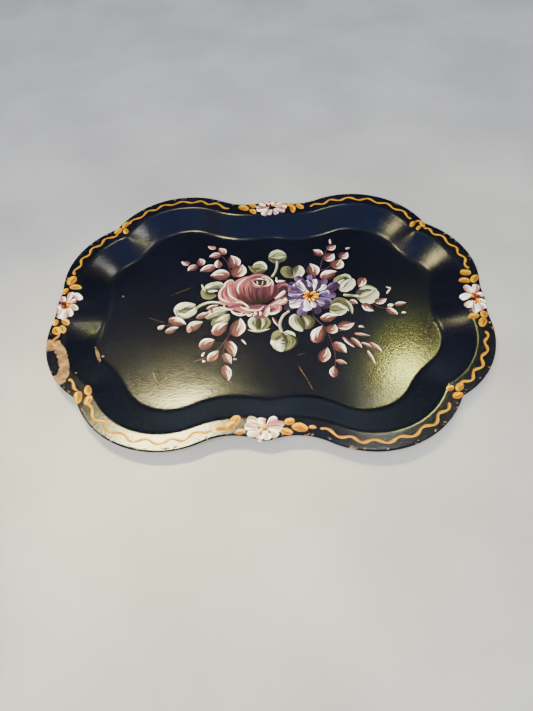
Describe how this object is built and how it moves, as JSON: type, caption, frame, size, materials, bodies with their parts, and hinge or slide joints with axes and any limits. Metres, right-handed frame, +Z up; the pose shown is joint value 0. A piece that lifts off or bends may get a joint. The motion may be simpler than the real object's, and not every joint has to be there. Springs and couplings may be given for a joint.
{
  "type": "painted serving tray",
  "caption": "Scalloped pressed-steel serving tray, black lacquer, hand-painted rose and aster bouquet, gold scroll line and small flowers on its rim.",
  "frame": {"origin": "under the middle of the flat floor, on the table", "axes": "+X along the tray's length, +Y to the back edge, which the rose opens towards, +Z up"},
  "size_m": [0.4, 0.3026, 0.0135],
  "materials": {
    "black_lacquer": "semi-gloss baked lacquer, blue-black, rubbed and chipped at the edge",
    "rose_paint": "varnished oil paint, dusty rose blended into cream at the petal edges",
    "violet_paint": "varnished oil paint, violet blended with white",
    "white_paint": "varnished oil paint, white streaked with lilac or pink",
    "yellow_paint": "varnished oil paint, yellow and orange dabs with red ones",
    "cream_paint": "varnished oil paint, cream blended into olive",
    "stem_paint": "thin brown-pink oil paint",
    "pink_paint": "varnished oil paint, salmon blended with white",
    "gold_paint": "warm ochre-gold oil paint"
  },
  "bodies": {
    "root": {"pan": "black_lacquer", "rose_bowl": "rose_paint", "rose_petals": "rose_paint", "aster_petals": "violet_paint", "aster_inner_petals": "white_paint", "aster_centre": "yellow_paint", "cream_leaves": "cream_paint", "leaf_stems": "cream_paint", "bud_stems": "stem_paint", "buds_back_left": "pink_paint", "buds_back_right": "pink_paint", "buds_right": "pink_paint", "buds_front_right": "pink_paint", "buds_front_left": "pink_paint", "rim_daisy_back": "white_paint", "rim_daisy_right": "white_paint", "rim_daisy_front": "white_paint", "rim_daisy_left": "white_paint", "gold_leaves": "gold_paint", "scroll_line": "gold_paint"}
  },
  "joints": []
}
